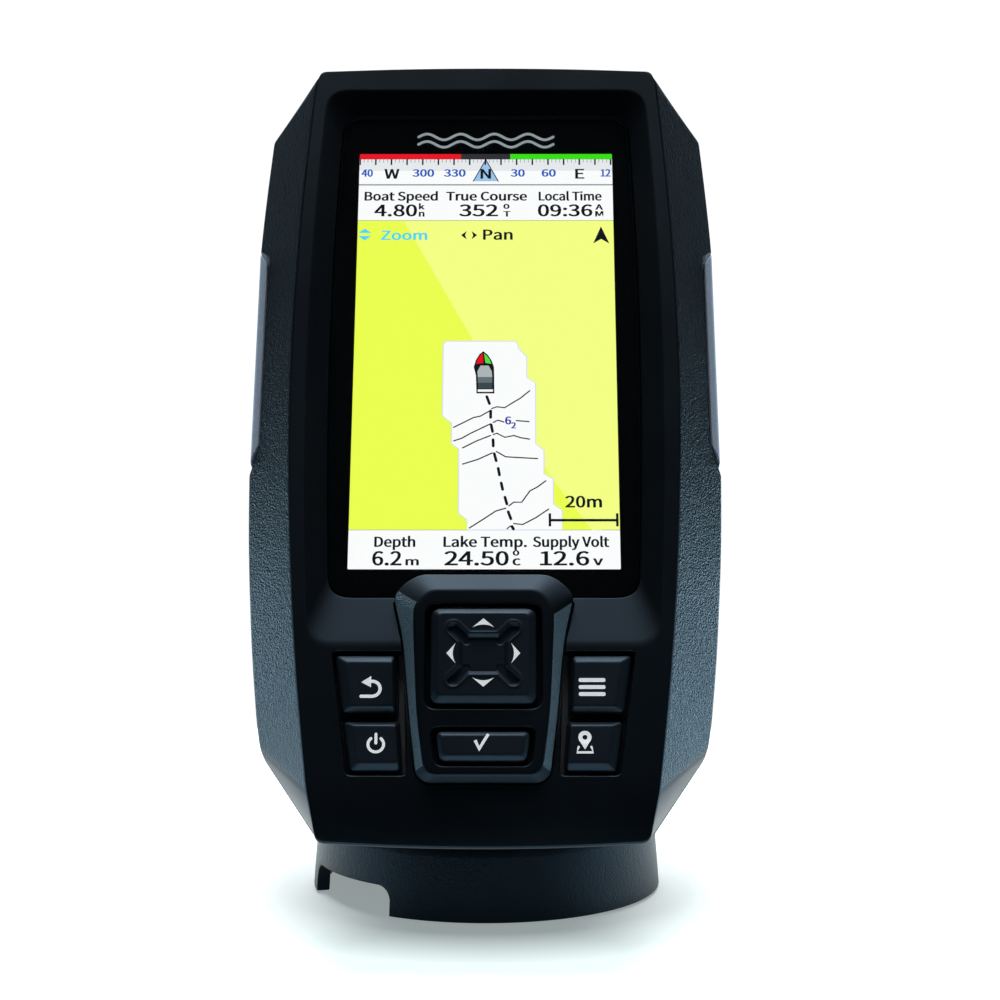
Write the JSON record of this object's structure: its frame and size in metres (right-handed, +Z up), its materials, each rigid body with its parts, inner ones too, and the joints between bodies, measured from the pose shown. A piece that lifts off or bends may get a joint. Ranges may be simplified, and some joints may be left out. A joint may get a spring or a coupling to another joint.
{
  "type": "fish finder",
  "caption": "Portrait marine display unit with keypad, rear cable socket and a quick-release cradle on a round tilt-and-swivel base.",
  "frame": {"origin": "middle of the base plate's underside, on the swivel axis", "axes": "+Z up along the swivel axis, screen faces -Y at rest swivel, +X is the viewer's right"},
  "size_m": [0.0978, 0.1146, 0.1779],
  "materials": {
    "case_shell": "fine moulded texture, black, satin on the bezel and grained on the flared sides",
    "rear_shell": "moulded texture, black",
    "grip_band": "smooth grey soft-touch band",
    "window_glass": "polished, black border printed behind",
    "picture": "backlit colour picture panel",
    "tray_white": "white moulded tray",
    "guide_clear": "clear acrylic",
    "bracket_steel": "stamped sheet",
    "circuit_board": "green solder mask",
    "ribbon": "amber film",
    "chip_black": "moulded component bodies",
    "antenna_ceramic": "unglazed",
    "capacitor_can": "drawn can",
    "switch_steel": "domed contact",
    "seal_rubber": "matt",
    "key_rubber": "soft matt key tops with bevelled edges",
    "contact_brass": "plated",
    "screw_steel": "plain",
    "mount_plastic": "grained moulded plastic, black"
  },
  "bodies": {
    "base": {"base_plate": "mount_plastic", "pivot_screw": "screw_steel", "pivot_washer": "screw_steel"},
    "swivel": {"swivel_cover": "mount_plastic", "tilt_bolt": "screw_steel", "tilt_nut": "screw_steel"},
    "knob": {"tilt_knob": "mount_plastic"},
    "cradle": {"cradle": "mount_plastic", "catch_tongue": "mount_plastic"},
    "back_key": {"key_back": "key_rubber"},
    "power_key": {"key_power": "key_rubber"},
    "menu_key": {"key_menu": "key_rubber"},
    "mark_key": {"key_mark": "key_rubber"},
    "enter_key": {"key_enter": "key_rubber"},
    "pad_rocker": {"dpad_pivot": "seal_rubber"},
    "pad": {"dpad": "key_rubber"},
    "unit": {"backlight_tray": "tray_white", "board_header": "chip_black", "board_shield": "bracket_steel", "buzzer": "chip_black", "case_screw_lower_left": "screw_steel", "case_screw_lower_right": "screw_steel", "case_screw_upper_left": "screw_steel", "case_screw_upper_right": "screw_steel", "case_seal": "seal_rubber", "connector_nut": "rear_shell", "connector_pin_1": "contact_brass", "connector_pin_2": "contact_brass", "connector_pin_3": "contact_brass", "connector_pin_4": "contact_brass", "connector_seal": "seal_rubber", "connector_socket": "rear_shell", "display_flex": "ribbon", "display_window": "window_glass", "front_housing": "case_shell", "gps_antenna": "antenna_ceramic", "key_switch_back": "switch_steel", "key_switch_enter": "switch_steel", "key_switch_mark": "switch_steel", "key_switch_menu": "switch_steel", "key_switch_power": "switch_steel", "keypad_board": "circuit_board", "keypad_mat": "seal_rubber", "keypad_surround": "case_shell", "lcd_bracket": "bracket_steel", "lcd_panel": "picture", "light_guide": "guide_clear", "main_board": "circuit_board", "power_inductor": "chip_black", "processor": "chip_black", "rear_housing": "rear_shell", "side_grip_left": "grip_band", "side_grip_right": "grip_band", "sonar_transformer": "chip_black", "supply_capacitor_left": "capacitor_can", "supply_capacitor_right": "capacitor_can", "vent_plug": "seal_rubber"}
  },
  "joints": [
    {"name": "swivel_turn", "type": "hinge", "parent": "base", "child": "swivel", "pos_m": [0, 0, 0], "axis": [0, 0, 1], "range_deg": [-90, 90]},
    {"name": "tilt", "type": "hinge", "parent": "swivel", "child": "cradle", "pos_m": [0, 0, 0.042], "axis": [1, 0, 0], "range_deg": [-30, 8]},
    {"name": "knob_turn", "type": "hinge", "parent": "swivel", "child": "knob", "pos_m": [0.0215, 0, 0.042], "axis": [1, 0, 0], "continuous": true},
    {"name": "unit_lift", "type": "slide", "parent": "cradle", "child": "unit", "axis": [0, 0.4446, 0.8957], "range_m": [0, 0.075], "deforming": ["catch_tongue"]},
    {"name": "back_press", "type": "slide", "parent": "unit", "child": "back_key", "axis": [0, 0.8957, -0.4446], "range_m": [0, 0.0008], "stiffness_N_per_m": 1200, "deforming": ["keypad_mat"]},
    {"name": "power_press", "type": "slide", "parent": "unit", "child": "power_key", "axis": [0, 0.8957, -0.4446], "range_m": [0, 0.0008], "stiffness_N_per_m": 1200, "deforming": ["keypad_mat"]},
    {"name": "menu_press", "type": "slide", "parent": "unit", "child": "menu_key", "axis": [0, 0.8957, -0.4446], "range_m": [0, 0.0008], "stiffness_N_per_m": 1200, "deforming": ["keypad_mat"]},
    {"name": "mark_press", "type": "slide", "parent": "unit", "child": "mark_key", "axis": [0, 0.8957, -0.4446], "range_m": [0, 0.0008], "stiffness_N_per_m": 1200, "deforming": ["keypad_mat"]},
    {"name": "enter_press", "type": "slide", "parent": "unit", "child": "enter_key", "axis": [0, 0.8957, -0.4446], "range_m": [0, 0.0008], "stiffness_N_per_m": 1200, "deforming": ["keypad_mat"]},
    {"name": "pad_up_down", "type": "hinge", "parent": "unit", "child": "pad_rocker", "pos_m": [0, -0.05733, 0.05632], "axis": [1, 0, 0], "range_deg": [-3, 3], "stiffness_Nm_per_rad": 0.4, "deforming": ["keypad_mat"]},
    {"name": "pad_left_right", "type": "hinge", "parent": "pad_rocker", "child": "pad", "pos_m": [0, -0.05733, 0.05632], "axis": [0, 0.4446, 0.8957], "range_deg": [-3, 3], "stiffness_Nm_per_rad": 0.4, "deforming": ["keypad_mat"]}
  ]
}
